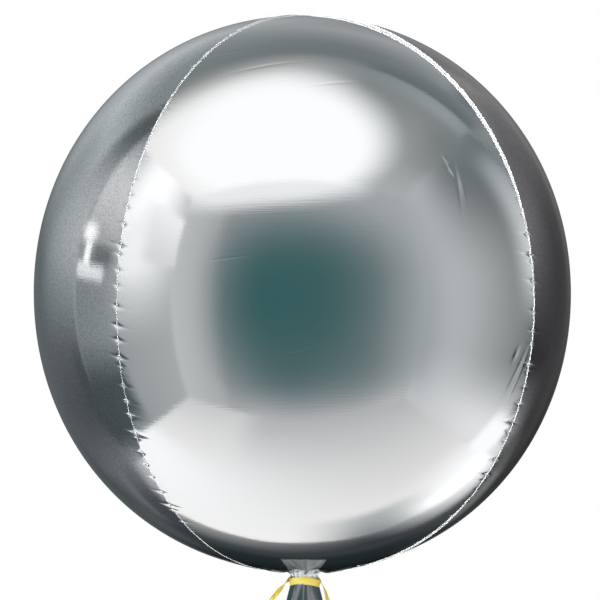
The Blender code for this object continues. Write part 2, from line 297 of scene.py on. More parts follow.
RELIEF_ROWS = (
    ("reach_share", "MULTIPLY_ADD", "luck", 1.3, 0.5),
    ("own_reach", "MULTIPLY", "reach_share", "Crease Reach"),
    ("faded", "DIVIDE", "From Seam", "own_reach"),
    ("minus_faded", "MULTIPLY", "faded", -1.0),
    ("fade", "EXPONENT", "minus_faded"),
    ("gap", "MULTIPLY", "distance", "Crease Pitch"),
    ("thorn", "MULTIPLY_ADD", "fade", 0.5, 0.5),
    ("own_width", "MULTIPLY", "thorn", "Crease Width"),
    ("near", "DIVIDE", "gap", "own_width"),
    ("minus_near", "MULTIPLY", "near", -1.0),
    ("cusp", "EXPONENT", "minus_near"),
    ("size", "MULTIPLY_ADD", "luck", 0.9, 0.5),
    ("cut_calm", "MULTIPLY", "cusp", "fade", "size", "Calm"),
    ("crease", "MULTIPLY", "cut_calm", "Crease Depth"),
    ("fine_swing", "SUBTRACT", "fine_noise", 0.5),
    ("fine_far", "DIVIDE", "From Seam", "Fine Reach"),
    ("minus_fine", "MULTIPLY", "fine_far", -1.0),
    ("fine_fade", "EXPONENT", "minus_fine"),
    ("fine", "MULTIPLY", "fine_swing", "Fine Depth", "fine_fade"),
    ("wave_swing", "SUBTRACT", "wave_noise", 0.5),
    ("neck_far", "DIVIDE", "From Neck", "Gather Reach"),
    ("minus_neck", "MULTIPLY", "neck_far", -1.0),
    ("neck_drop", "EXPONENT", "minus_neck"),
    ("neck_swell", "MULTIPLY", "neck_far", "neck_drop"),
    ("neck_fade", "MULTIPLY", "neck_swell", "neck_swell", math.e**2),
    ("gather_swing", "SUBTRACT", "gather_noise", 0.5),
    ("gather", "MULTIPLY", "gather_swing", "Gather Depth", "neck_fade"),
    ("fine_and_gather", "ADD", "fine", "gather"),
    ("with_wave", "MULTIPLY_ADD", "wave_swing", "Wave Height", "fine_and_gather"),
    ("radial", "SUBTRACT", "with_wave", "crease"),
    ("jog_swing", "SUBTRACT", "jog_noise", 0.5),
    ("around", "MULTIPLY", "jog_swing", "fade", "Jog"),
)

# Sizes that the panels and the fins hand on to the film's relief, and the properties that hold them
RELIEF_SIZES = {
    "Crease Pitch": "pitch", "Crease Depth": "depth", "Crease Width": "width",
    "Crease Reach": "reach", "Jog": "jog", "Fine Depth": "fine", "Fine Reach": "fine_reach",
    "Wave Height": "wave", "Gather Depth": "gather", "Gather Reach": "gather_reach", "Seed": "seed",
}

# Sizes of the envelope's outline, from the top pole to the neck
PROFILE_SIZES = ("Half Height", "Profile Power", "Span")

# What the relief is told of a point, and the value that the panels and the fins have for it
RELIEF_PLACES = {
    "Along": "along", "From Neck": "from_neck", "From Seam": "from_seam", "Seam": "Seam",
    "Side": "side", "Calm": "calm",
}

FIN_ROWS = (
    ("root", "ABSOLUTE", "across"),
    ("stand", "SUBTRACT", 1.0, "root"),
    ("which", "SIGN", "across"),
    ("top_many", "MULTIPLY", "down", 70.0),
    ("top_taper", "MINIMUM", "top_many", 1.0),
    ("down_left", "SUBTRACT", 1.0, "down"),
    ("end_many", "MULTIPLY", "down_left", 70.0),
    ("end_taper", "MINIMUM", "end_many", 1.0),
    ("taper", "MULTIPLY", "top_taper", "end_taper"),
    ("jagged", "MULTIPLY_ADD", "edge_noise", 0.3, 0.83),
    ("slimmer", "MULTIPLY_ADD", "down", -0.55, 1.02),
    ("drawn_in", "MULTIPLY_ADD", "calm", -0.4, 1.0),
    ("slim_in", "MULTIPLY", "slimmer", "drawn_in"),
    ("raised", "MULTIPLY", "Fin Height", "jagged", "slim_in", "taper", "stand"),
    ("thick", "MULTIPLY", "root", "stand", "which", "taper", "Fin Thickness"),
    ("leaned", "MULTIPLY", "raised", "Lean"),
    ("crimp_swing", "SUBTRACT", "crimp_noise", 0.5),
    ("crimped", "MULTIPLY", "crimp_swing", "stand", "taper", "Crimp"),
    ("aside_sum", "ADD", "thick", "leaned", "crimped"),
    ("nib_stand", "MULTIPLY", "pinch", "Nib", "stand"),
    ("nib_taper", "MULTIPLY_ADD", "nib_stand", "taper", "raised"),
    ("sunk", "SUBTRACT", "nib_taper", "Root Depth"),
)

RIBBON_ROWS = (
    ("x_low", "MAXIMUM", "x", -1.0),
    ("x_in", "MINIMUM", "x_low", 1.0),
    ("swung", "ARCSINE", "x_in"),
    ("share", "DIVIDE", "swung", math.pi),
    ("wide", "MULTIPLY", "share", "Width"),
    ("face", "SIGN", "y"),
    ("y_size", "ABSOLUTE", "y"),
    ("round_edge", "POWER", "y_size", 0.25),
    ("flat", "MULTIPLY", "round_edge", "face"),
    ("half", "MULTIPLY", "Thickness", 0.5),
    ("deep", "MULTIPLY", "flat", "half"),
    ("rib_angle", "MULTIPLY", "share", "Ribs", 2 * math.pi),
    ("rib_wave", "COSINE", "rib_angle"),
    ("rib", "MULTIPLY", "rib_wave", "Rib Height", "round_edge"),
    ("ribbed", "ADD", "deep", "rib"),
)

# Millimetres from one swing of the fin's edge and of its crinkles to the next
FIN_NOISES = (("edge_noise", 2.2), ("crimp_noise", 4.5))

# How many times finer than the puckers the small crumples and the seal's wandering are
CREASE_NOISES = (("fine_noise", 4.3), ("jog_noise", 1.2))

# Points nearer than this are one
MERGE_DISTANCE = 0.000002

# Grain of 1.2 by 3 mm: the film's own orange peel, which frosts the edges of what it mirrors
GRAIN_SCALE = (820.0, 330.0, 820.0)

# Streaks 0.7 mm high and 25 mm long, rolled round the film and drawn coarse enough to show
STREAK_SCALE = (40.0, 40.0, 1400.0)

# How far to the side, as a share, the film turns from the smooth coat to the side panels' grain
SIDE_PANELS = (0.66, 0.76)

# How far from the envelope's middle the dents lie
DENT_RADIUS = 0.192

# Small dents and ridges in the front film, deep ones positive: way out from the middle, lean of
# the long way to the right in degrees, half length, half width, depth
DENTS = (
    ((0.399, -0.771, 0.497), -14.0, 0.0036, 0.0010, -0.00026),
    ((0.410, -0.789, 0.457), -20.0, 0.0040, 0.0010, 0.00024),
    ((0.436, -0.799, 0.413), 6.0, 0.0130, 0.0014, 0.00018),
    ((0.452, -0.790, 0.415), 4.0, 0.0110, 0.0012, -0.00013),
    ((0.640, -0.750, -0.165), 24.0, 0.0050, 0.0018, 0.00045),
    ((0.643, -0.731, -0.227), 24.0, 0.0130, 0.0013, 0.00034),
    ((0.660, -0.716, -0.226), 18.0, 0.0140, 0.0012, -0.00026),
    ((0.035, -0.652, 0.757), 84.0, 0.0140, 0.0012, 0.00004),
    ((-0.315, -0.416, 0.853), 68.0, 0.0160, 0.0013, 0.00009),
    ((-0.193, -0.551, 0.812), 72.0, 0.0180, 0.0014, 0.00005),
    ((-0.361, -0.916, 0.178), 82.0, 0.0120, 0.0006, 0.00005),
    ((-0.125, -0.983, -0.138), 78.0, 0.0090, 0.0006, 0.00005),
)


def linear(text):
    """A hex colour in sRGB as the linear red, green and blue that Blender works in."""
    parts = [int(text[i : i + 2], 16) / 255 for i in (1, 3, 5)]
    return tuple(c / 12.92 if c <= 0.04045 else ((c + 0.055) / 1.055) ** 2.4 for c in parts)


def bowed_arc(middle, ridge):
    """Centre, past the axis, and radius of the arc through a panel's middle and both its edges."""
    centre = (ridge**2 - middle**2) / (2 * middle - math.sqrt(2) * ridge)
    return centre, middle + centre


def metres(name, description, default, low=None):
    """A size in metres that a user would change."""
    limit = {} if low is None else {"min": low}
    return FloatProperty(
        name=name, description=description, default=default, unit="LENGTH", **limit
    )


def swatch(name, description, default):
    """A colour that a user would change, from its hex colour."""
    return FloatVectorProperty(
        name=name, description=description, default=linear(default), subtype="COLOR", size=3,
        min=0.0, max=1.0,
    )


class EnvelopeSizes(bpy.types.PropertyGroup):
    """Sizes of the filled envelope."""

    middle_radius: metres("Middle Radius", "From the axis to a panel's middle", 0.1905, 0.05)
    ridge_radius: metres("Ridge Radius", "From the axis to a seam", 0.1980, 0.05)
    half_height: metres("Half Height", "From the middle to the top pole", 0.1975, 0.05)
    profile_power: FloatProperty(
        name="Profile Power", description="1 is an ellipse, less is squarer", default=0.983, min=0.5
    )
    neck_radius: metres("Neck Radius", "Where the panels end in the gather", 0.0120, 0.001)
    skin_depth: metres("Skin Depth", "How far inside the film its back skin lies", 0.003, 0.0001)
    columns: IntProperty(name="Columns", description="Faces across a panel", default=88, min=8)
    rows: IntProperty(
        name="Rows", description="Faces from the top pole to the neck", default=860, min=16
    )
    back_columns: IntProperty(
        name="Back Columns", description="Faces across a panel's back skin", default=8, min=2
    )
    film_tint: swatch("Film Tint", "Colour of the metal coat", "#f1f3f5")


class CreaseSizes(bpy.types.PropertyGroup):
    """Sizes of the puckers beside the heat seals."""

    pitch: metres("Crease Pitch", "Mean way from one pucker to the next", 0.0105, 0.001)
    depth: metres("Crease Depth", "Depth of a pucker at the seal", 0.0014, 0.0)
    width: metres("Crease Width", "How fast a pucker's flanks rise", 0.0010, 0.0001)
    reach: metres("Crease Reach", "How far a pucker runs into the panel", 0.0021, 0.0005)
    jog: metres("Jog", "How far the seal wanders sideways", 0.0013, 0.0)
    fine: metres("Fine Depth", "Depth of the small crumples at the seal", 0.00016, 0.0)
    fine_reach: metres("Fine Reach", "How far the crumples run into the panel", 0.0015, 0.0001)
    wave: metres("Wave Height", "Slow unevenness of the film", 0.00025, 0.0)
    gather: metres("Gather Depth", "Depth of the folds that run into the neck", 0.0105, 0.0)
    gather_reach: metres(
        "Gather Reach", "Where those folds are deepest, from the neck", 0.0140, 0.001
    )
    seed: FloatProperty(name="Seed", description="Moves every random pattern", default=3.0)


class SealSizes(bpy.types.PropertyGroup):
    """Sizes of the fins where two panels are sealed together."""

    height: metres("Fin Height", "How far the sealed edges stand out", 0.0023, 0.0001)
    thickness: metres("Fin Thickness", "Fullness of the two films", 0.0007, 0.0001)
    root: metres("Root Depth", "How far the fin reaches into the joint", 0.0005, 0.0)
    crimp: metres("Crimp", "Swing of the fin's crinkled edge", 0.00025, 0.0)
    nib: metres("Nib", "How far the edge is pushed out at a pucker", 0.0006, 0.0)
    columns: IntProperty(name="Columns", description="Faces round a fin", default=12, min=4)
    tint: swatch("Seal Tint", "Colour of the crushed film", "#fbfbfb")


class NeckSizes(bpy.types.PropertyGroup):
    """Sizes of the gathered neck."""

    shift: metres("Side Shift", "How far the neck hangs to the right of the axis", 0.0020)
    pleats: IntProperty(name="Pleats", description="Folds round the neck", default=17, min=3)
    pleat_depth: FloatProperty(
        name="Pleat Depth", description="Depth of a fold as a share of the radius", default=0.16,
        min=0.0,
    )
    segments: IntProperty(name="Segments", description="Faces round the neck", default=260, min=24)


class TailSizes(bpy.types.PropertyGroup):
    """Sizes of the flat filling tail."""

    top: metres("Top", "Height of its upper end", -0.2086)
    length: metres("Length", "From neck to mouth", 0.0450)
    seal: metres("Seal Width", "Width of the sealed strip at each side", 0.0035, 0.0005)
    film: metres("Ply Thickness", "Thickness of one ply", 0.0004, 0.00005)
    columns: IntProperty(name="Columns", description="Faces across a ply", default=110, min=8)
    rows: IntProperty(name="Rows", description="Faces down a ply", default=70, min=4)
    # The tail's tint is darker than the film's own: painted shade for the dark that the tail mirrors
    tint: swatch("Tail Tint", "Colour of the tail's film", "#b4b7b9")


class RibbonSizes(bpy.types.PropertyGroup):
    """Sizes of the ribbon."""

    width: metres("Width", "Width of the ribbon", 0.0050)
    thickness: metres("Thickness", "Thickness of the ribbon", 0.00035)
    ribs: IntProperty(name="Ribs", description="Ribs rolled along the ribbon", default=11, min=2)
    rib_height: metres("Rib Height", "Height of a rib", 0.00007)
    colour: swatch("Colour", "Colour of the ribbon", "#e5cf5f")


class StudioSizes(bpy.types.PropertyGroup):
    """Place of the camera."""

    distance: metres("Distance", "From the camera to the envelope's middle", 2.0, 0.1)
    azimuth: FloatProperty(
        name="Azimuth", description="Way of the camera round the balloon",
        default=math.radians(-6.9), subtype="ANGLE",
    )
    elevation: FloatProperty(
        name="Elevation", description="Height of the camera over the middle",
        default=math.radians(3.5), subtype="ANGLE",
    )
    focal: FloatProperty(
        name="Focal Length", description="Lens in millimetres", default=168.16, min=1.0
    )
    aim_left: metres("Aim Left", "How far left of the middle the camera aims", 0.0013)
    aim_down: metres("Aim Down", "How far below the middle the camera aims", 0.0046)
    floor_height: metres("Floor", "Height of the floor under the balloon", -4.0)


class BalloonSettings(bpy.types.PropertyGroup):
    """Everything that a user would change."""

    envelope: PointerProperty(type=EnvelopeSizes)
    crease: PointerProperty(type=CreaseSizes)
    seal: PointerProperty(type=SealSizes)
    neck: PointerProperty(type=NeckSizes)
    tail: PointerProperty(type=TailSizes)
    ribbon: PointerProperty(type=RibbonSizes)
    studio: PointerProperty(type=StudioSizes)


def add(tree, kind, inputs=(), **settings):
    """Adds a node, sets its settings and fills its inputs with values, sockets or nodes."""
    node = tree.nodes.new(kind)
    for name, value in settings.items():
        setattr(node, name, value)
    for key, value in dict(inputs).items():
        if isinstance(value, bpy.types.Node):
            value = value.outputs[0]
        if isinstance(value, bpy.types.NodeSocket):
            tree.links.new(value, node.inputs[key])
        else:
            node.inputs[key].default_value = value
    return node


def work_out(tree, known, rows):
    """Adds the sums of a table to known, so that later rows and nodes can name them.

    A product or a sum of more than two operands is worked out from left to right.
    """
    for result, operation, *operands in rows:
        values = [known.get(operand, operand) for operand in operands]
        while operation in ("ADD", "MULTIPLY") and len(values) > 2:
            pair = dict(enumerate(values[:2]))
            values[:2] = [add(tree, "ShaderNodeMath", pair, operation=operation)]
        known[result] = add(tree, "ShaderNodeMath", dict(enumerate(values)), operation=operation)


def sockets(kind, *names):
    """Sockets of one kind, for a tree's inputs or outputs."""
    return [(name, "NodeSocket" + kind) for name in names]


def new_tree(name, inputs, outputs=None):
    """A geometry node tree with named sockets: the tree, its inputs by name and its output node."""
    tree = bpy.data.node_groups.new(name, "GeometryNodeTree")
    for way, rows in (("INPUT", inputs), ("OUTPUT", outputs or sockets("Geometry", "Geometry"))):
        for label, kind in rows:
            tree.interface.new_socket(label, in_out=way, socket_type=kind)
    start = tree.nodes.new("NodeGroupInput")
    known = {socket.name: socket for socket in start.outputs if socket.name}
    return tree, known, tree.nodes.new("NodeGroupOutput")


def placed(name, data):
    """A new object of some data, in the scene."""
    thing = bpy.data.objects.new(name, data)
    bpy.context.scene.collection.objects.link(thing)
    return thing


def meshed(name, bm, material):
    """A smooth object of what a bmesh holds, which it frees."""
    mesh = bpy.data.meshes.new(name)
    bm.to_mesh(mesh)
    bm.free()
    mesh.materials.append(material)
    mesh.shade_smooth()
    return placed(name, mesh)


def grown(name, data, tree, values):
    """A plain mesh object of what a geometry node tree makes of some data."""
    source = placed(name + "_source", data)
    modifier = source.modifiers.new("shape", "NODES")
    modifier.node_group = tree
    for item in tree.interface.items_tree:
        if item.in_out == "INPUT" and item.name in values:
            modifier[item.identifier] = values[item.name]
    shaped = source.evaluated_get(bpy.context.evaluated_depsgraph_get())
    mesh = bpy.data.meshes.new_from_object(shaped)
    bpy.data.objects.remove(source)
    mesh.name = name
    return placed(name, mesh)


def finish_piece(piece, slot, *nodes):
    """Puts a finished piece on its body, in place of its CAD nodes."""
    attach(piece, BODY)
    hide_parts(*nodes)


def lofted(name, rings, material, closed_round=True):
    """A mesh object through rings of points, with a face over each end ring of a closed one."""
    bm = bmesh.new()
    loops = [[bm.verts.new(point) for point in ring] for ring in rings]
    count = len(loops[0])
    for upper, lower in zip(loops, loops[1:]):
        for i in range(count if closed_round else count - 1):
            j = (i + 1) % count
            bm.faces.new((upper[i], lower[i], lower[j], upper[j]))
    if closed_round:
        bm.faces.new(loops[0])
        bm.faces.new(loops[-1][::-1])
    bmesh.ops.recalc_face_normals(bm, faces=bm.faces[:])
    return meshed(name, bm, material)


def new_material(name):
    """An empty node material and its tree."""
    material = bpy.data.materials.new(name)
    material.use_nodes = True
    material.node_tree.nodes.clear()
    return material, material.node_tree


def dented(tree, place):
    """The height of all the small dents, in metres: each is a drop that fades along and across."""
    height = 0.0
    for way, lean, half_length, half_width, depth in DENTS:
        outward = Vector(way).normalized()
        level = Vector((0, 0, 1)).cross(outward).normalized()
        spin = Matrix.Rotation(math.radians(lean), 3, outward).inverted()
        axes = (spin @ level, spin @ outward.cross(level), outward)
        spot = add(
            tree, "ShaderNodeMapping",
            {
                "Vector": place, "Location": outward * DENT_RADIUS,
                "Rotation": Matrix(axes).transposed().to_euler(),
                "Scale": (half_width, half_length, DENT_RADIUS / 4),
            },
            vector_type="TEXTURE",
        )
        far = add(tree, "ShaderNodeVectorMath", {0: spot, 1: spot}, operation="DOT_PRODUCT")
        known = {"far": far.outputs["Value"], "height": height}
        work_out(tree, known, (
            ("minus", "MULTIPLY", "far", -1.0),
            ("drop", "EXPONENT", "minus"),
            ("height", "MULTIPLY_ADD", "drop", -depth, "height"),
        ))
        height = known["height"]
    return height


def film_material(name, tint, roughness, grain_height, streak_height=0.0, metal=1.0, dents=False):
    """Vapour-metallised polyester film: a mirror, with the film's fine grain and rolled streaks."""
    material, tree = new_material(name)
    place = add(tree, "ShaderNodeTexCoord").outputs["Object"]
    rolled = add(tree, "ShaderNodeMapping", {"Vector": place, "Scale": GRAIN_SCALE})
    grain = add(tree, "ShaderNodeTexNoise", {"Vector": rolled, "Scale": 1.0, "Detail": 2.0})
    flat = add(tree, "ShaderNodeMapping", {"Vector": place, "Scale": STREAK_SCALE})
    streak = add(tree, "ShaderNodeTexNoise", {"Vector": flat, "Scale": 1.0, "Detail": 3.0})
    uneven = add(tree, "ShaderNodeTexNoise", {"Vector": place, "Scale": 55.0, "Detail": 3.0})
    rough = add(
        tree, "ShaderNodeMapRange",
        {"Value": uneven, "To Min": roughness * 0.75, "To Max": roughness * 1.3},
    )
    # On the two side panels the coat has cracked all over and shows its grain, elsewhere barely.
    parts = add(tree, "ShaderNodeSeparateXYZ", {0: flat_round(tree, place)})
    size = add(tree, "ShaderNodeMath", {0: parts.outputs["X"]}, operation="ABSOLUTE")
    start, full = SIDE_PANELS
    tight = add(tree, "ShaderNodeMapRange", {"Value": size, "From Min": start, "From Max": full})
    deep = add(
        tree, "ShaderNodeMapRange",
        {"Value": grain, "From Min": 0.28, "From Max": 0.72, "To Min": 0.75, "To Max": 1.09},
    )
    tone = add(tree, "ShaderNodeMix", {"Factor": tight, "A": 1.0, "B": deep}, data_type="FLOAT")
    coat = add(tree, "ShaderNodeVectorMath", {0: tuple(tint), "Scale": tone}, operation="SCALE")
    known = {"tight": tight, "grain": grain}
    work_out(tree, known, (
        ("strong", "MULTIPLY_ADD", "tight", 0.3, 0.4),
        ("raised", "MULTIPLY", "grain", "strong"),
    ))
    reliefs = [(known["raised"], grain_height), (streak, streak_height)]
    if dents:
        reliefs.append((dented(tree, place), 1.0))
    facing = {}
    for height, distance in reliefs:
        bump = {"Height": height, "Distance": distance, "Strength": 1.0, **facing}
        facing = {"Normal": add(tree, "ShaderNodeBump", bump)}
    shader = add(
        tree, "ShaderNodeBsdfPrincipled",
        {"Base Color": coat, "Metallic": metal, "Roughness": rough, **facing},
    )
    add(tree, "ShaderNodeOutputMaterial", {"Surface": shader})
    return material


def ribbon_material(name, colour):
    """Rolled polypropylene ribbon: glossy, a bit cloudy, and light shines through its 0.35 mm."""
    material, tree = new_material(name)
    place = add(tree, "ShaderNodeTexCoord").outputs["Object"]
    cloud = add(tree, "ShaderNodeTexNoise", {"Vector": place, "Scale": 260.0, "Detail": 4.0})
    deep = [c * s for c, s in zip(colour, (0.96, 0.93, 0.82))]
    tone = add(
        tree, "ShaderNodeMix", {"Factor": cloud, 6: (*deep, 1.0), 7: (*colour, 1.0)},
        data_type="RGBA",
    )
    bump = add(tree, "ShaderNodeBump", {"Height": cloud, "Distance": 0.000015, "Strength": 1.0})
    shader = add(
        tree, "ShaderNodeBsdfPrincipled",
        {
            "Base Color": tone.outputs[2], "Roughness": 0.34, "IOR": 1.49,
            "Coat Weight": 0.25, "Coat Roughness": 0.18, "Subsurface Weight": 0.35,
            "Subsurface Radius": (1.0, 0.9, 0.5), "Subsurface Scale": 0.0015, "Normal": bump,
        },
    )
    add(tree, "ShaderNodeOutputMaterial", {"Surface": shader})
    return material


def relief_tree():
    """Moves a point of the plain envelope to where the creased film lies."""
    tree, known, end = new_tree(
        "film_relief",
        sockets("Vector", "Position") + sockets("Float", *RELIEF_PLACES, *RELIEF_SIZES),
        sockets("Vector", "Position", "Outward", "Round") + sockets("Float", "Pinch"),
    )
    work_out(tree, known, CREASE_ROWS)
    cells = add(
        tree, "ShaderNodeTexVoronoi", {"W": known["where"], "Scale": 1.0, "Randomness": 0.9},
        voronoi_dimensions="1D",
    )
    known["distance"] = cells.outputs["Distance"]
    known["luck"] = add(tree, "FunctionNodeSeparateColor", {0: cells.outputs["Color"]})
    for name, finer in CREASE_NOISES:
        where = add(tree, "ShaderNodeMath", {0: known["where"], 1: finer}, operation="MULTIPLY")
        known[name] = add(
            tree, "ShaderNodeTexNoise", {"W": where, "Scale": 1.0, "Detail": 1.5},
            noise_dimensions="1D",
        )
    outward = add(tree, "ShaderNodeVectorMath", {0: known["Position"]}, operation="NORMALIZE")
    # name, direction that it hangs on, swings to a radian, fourth coordinate
    patterns = (
        ("wave_noise", outward, 3.2, "Seed"),
        ("gather_noise", flat_round(tree, outward), 7.0, "gather_drift"),
    )
    for name, direction, swings, drift in patterns:
        known[name] = add(
            tree, "ShaderNodeTexNoise",
            {"Vector": direction, "W": known[drift], "Scale": swings, "Detail": 1.0},
            noise_dimensions="4D",
        )
    work_out(tree, known, RELIEF_ROWS)
    upright = add(
        tree, "ShaderNodeVectorMath", {0: (0.0, 0.0, 1.0), 1: outward}, operation="CROSS_PRODUCT"
    )
    round_way = add(tree, "ShaderNodeVectorMath", {0: upright}, operation="NORMALIZE")
    moved = known["Position"]
    for way, amount in ((outward, "radial"), (round_way, "around")):
        moved = moved_along(tree, moved, way, known[amount])
    for i, value in enumerate((moved, outward, round_way, known["cut_calm"])):
        tree.links.new(value.outputs[0], end.inputs[i])
    return tree


def flat_round(tree, outward):
    """The part of a direction that lies level, one long, so that a pattern runs straight down."""
    level = add(
        tree, "ShaderNodeVectorMath", {0: outward, 1: (1.0, 1.0, 0.0)}, operation="MULTIPLY"
    )
    return add(tree, "ShaderNodeVectorMath", {0: level}, operation="NORMALIZE")


def moved_along(tree, place, way, amount):
    """A place that is moved along a direction by an amount."""
    step = add(tree, "ShaderNodeVectorMath", {0: way, "Scale": amount}, operation="SCALE")
    return add(tree, "ShaderNodeVectorMath", {0: place, 1: step}, operation="ADD")


def film_grid(tree, known, columns):
    """A grid with as many faces across and down as two of the tree's inputs say."""
    counts = {}
    for axis, count in (("Vertices X", columns), ("Vertices Y", "Rows")):
        counts[axis] = add(tree, "ShaderNodeMath", {0: known[count], 1: 1.0}, operation="ADD")
    return add(tree, "GeometryNodeMeshGrid", {"Size X": 2.0, "Size Y": 1.0, **counts})


def grid_place(tree, known):
    """Reads a grid's own coordinates: across from -1 to 1 and down from 0 to 1."""
    spot = add(tree, "ShaderNodeSeparateXYZ", {0: add(tree, "GeometryNodeInputPosition")})
    known["across"], known["y"] = spot.outputs["X"], spot.outputs["Y"]
    work_out(tree, known, (("down", "SUBTRACT", 0.5, "y"),))


def creased_film(tree, known, relief):
    """The relief's node, for the point at a radius, an azimuth and a height."""
    work_out(tree, known, (
        ("azimuth_sine", "SINE", "azimuth"),
        ("azimuth_cosine", "COSINE", "azimuth"),
        ("base_x", "MULTIPLY", "radius", "azimuth_cosine"),
        ("base_y", "MULTIPLY", "radius", "azimuth_sine"),
    ))
    base = {"X": known["base_x"], "Y": known["base_y"], "Z": known["height"]}
    places = {label: known[name] for label, name in RELIEF_PLACES.items() if name in known}
    sizes = {size: known[size] for size in RELIEF_SIZES}
    values = {"Position": add(tree, "ShaderNodeCombineXYZ", base), **places, **sizes}
    return add(tree, "GeometryNodeGroup", values, node_tree=relief)


def shaped_film(tree, known, end, geometry, place):
    """Moves a grid to its place, closes it where its edges meet and gives it its film."""
    shaped = add(tree, "GeometryNodeSetPosition", {"Geometry": geometry, "Position": place})
    merged = {"Geometry": shaped, "Distance": MERGE_DISTANCE}
    closed = add(tree, "GeometryNodeMergeByDistance", merged)
    dress(tree, end, closed, known["Film"])


def dress(tree, end, geometry, material):
    """Shades a shape smooth, makes it real and gives it its material."""
    smooth = add(tree, "GeometryNodeSetShadeSmooth", {"Geometry": geometry})
    real = add(tree, "GeometryNodeRealizeInstances", {"Geometry": smooth})
    dressed = add(tree, "GeometryNodeSetMaterial", {"Geometry": real, "Material": material})
    tree.links.new(dressed.outputs[0], end.inputs[0])


def panel_tree(relief):
    """A film panel: a creased outer skin and a plain back skin, closed along the seals."""
    tree, known, end = new_tree(
        "film_panel",
        sockets("Geometry", "Geometry") + sockets("Material", "Film")
        + sockets("Int", "Columns", "Rows", "Back Columns")
        + sockets(
            "Float", "Facing", "Left Seam", "Right Seam", "Bow Centre", "Bow Reach", "Depth",
            *PROFILE_SIZES, *RELIEF_SIZES,
        ),
    )
    both = add(tree, "GeometryNodeJoinGeometry")
    for columns, inside in (("Columns", 0.0), ("Back Columns", 1.0)):
        skin = add(
            tree, "GeometryNodeStoreNamedAttribute",
            {"Geometry": film_grid(tree, known, columns), "Name": "skin", "Value": inside},
            data_type="FLOAT", domain="POINT",
        )
        if inside:
            skin = add(tree, "GeometryNodeFlipFaces", {"Mesh": skin})
        tree.links.new(skin.outputs[0], both.inputs[0])
    grid_place(tree, known)
    known["skin"] = add(
        tree, "GeometryNodeInputNamedAttribute", {"Name": "skin"}, data_type="FLOAT"
    )
    work_out(tree, known, PANEL_ROWS + PROFILE_ROWS + SKIN_ROWS)
    creased = creased_film(tree, known, relief)
    film, outward = creased.outputs["Position"], creased.outputs["Outward"]
    place = moved_along(tree, film, outward, known["inward"])
    shaped_film(tree, known, end, both, place)
    return tree


def fin_tree(relief):
    """A heat-sealed fin that follows its seam, crinkled along its free edge."""
    tree, known, end = new_tree(
        "sealed_fin",
        sockets("Geometry", "Geometry") + sockets("Material", "Film")
        + sockets("Int", "Columns", "Rows")
        + sockets(
            "Float", "azimuth", "Seam", "Ridge Radius", "Fin Height", "Fin Thickness",
            "Root Depth", "Lean", "Crimp", "Nib", *PROFILE_SIZES, *RELIEF_SIZES,
        ),
    )
    strip = film_grid(tree, known, "Columns")
    grid_place(tree, known)
    work_out(tree, known, PROFILE_ROWS)
    for name, pitch in FIN_NOISES:
        work_out(tree, known, (("where", "MULTIPLY_ADD", "along", 1000.0 / pitch, "Seam"),))
        known[name] = add(
            tree, "ShaderNodeTexNoise", {"W": known["where"], "Scale": 1.0, "Detail": 2.0},
            noise_dimensions="1D",
        )
    work_out(tree, known, (("radius", "MULTIPLY", "Ridge Radius", "slim"),))
    creased = creased_film(tree, known, relief)
    known["pinch"] = creased.outputs["Pinch"]
    work_out(tree, known, FIN_ROWS)
    place = creased.outputs["Position"]
    for way, amount in (("Outward", "sunk"), ("Round", "aside_sum")):
        place = moved_along(tree, place, creased.outputs[way], known[amount])
    shaped_film(tree, known, end, strip, place)
    return tree


def film_values(settings):
    """What the panels' and the fins' trees are both told."""
    envelope = settings.envelope
    share = (envelope.neck_radius / envelope.middle_radius) ** (1 / envelope.profile_power)
    return {
        "Half Height": envelope.half_height,
        "Profile Power": envelope.profile_power,
        "Span": math.pi / 2 + math.acos(share),
        "Rows": envelope.rows,
        **{size: getattr(settings.crease, name) for size, name in RELIEF_SIZES.items()},
    }


def smooth_rows(table, steps):
    """Rows on the Catmull-Rom curve through a table's rows, in even shares of its row numbers."""
    table = np.array(table)
    knots = np.vstack([2 * table[0] - table[1], table, 2 * table[-1] - table[-2]])
    rows = []
    for step in range(steps + 1):
        along = (len(table) - 1) * step / steps
        index = min(int(along), len(table) - 2)
        t = along - index
        a, b, c, d = knots[index : index + 4]
        bend = 2 * b + (c - a) * t + (2 * a - 5 * b + 4 * c - d) * t**2
        rows.append((bend + (3 * b - a - 3 * c + d) * t**3) / 2)
    return rows


def ribbon_tree():
    """A flat ribbon with rolled ribs along it, swept along a curve."""
    tree, known, end = new_tree(
        "ribbed_ribbon",
        sockets("Geometry", "Geometry") + sockets("Int", "Points") + sockets("Material", "Ribbon")
        + sockets("Float", "Width", "Thickness", "Ribs", "Rib Height"),
    )
    ring = add(
        tree, "GeometryNodeCurvePrimitiveCircle", {"Resolution": known["Points"], "Radius": 1.0}
    )
    spot = add(tree, "ShaderNodeSeparateXYZ", {0: add(tree, "GeometryNodeInputPosition")})
    known["x"], known["y"] = spot.outputs["X"], spot.outputs["Y"]
    work_out(tree, known, RIBBON_ROWS)
    outline = add(tree, "ShaderNodeCombineXYZ", {"X": known["ribbed"], "Y": known["wide"]})
    profile = add(tree, "GeometryNodeSetPosition", {"Geometry": ring, "Position": outline})
    swept = add(
        tree, "GeometryNodeCurveToMesh",
        {"Curve": known["Geometry"], "Profile Curve": profile, "Fill Caps": True},
    )
    dress(tree, end, swept, known["Ribbon"])
    return tree


def ribbon_path(name, points, cyclic):
    """A curve through points of x, y, z and tilt in degrees."""
    curve = bpy.data.curves.new(name, "CURVE")
    curve.dimensions = "3D"
    curve.twist_mode = "Z_UP" if cyclic else "MINIMUM"
    spline = curve.splines.new("POLY")
    spline.points.add(len(points) - 1)
    for place, (x, y, z, tilt) in zip(spline.points, points):
        place.co = (x, y, z, 1.0)
        place.tilt = math.radians(tilt)
    spline.use_cyclic_u = cyclic
    return curve


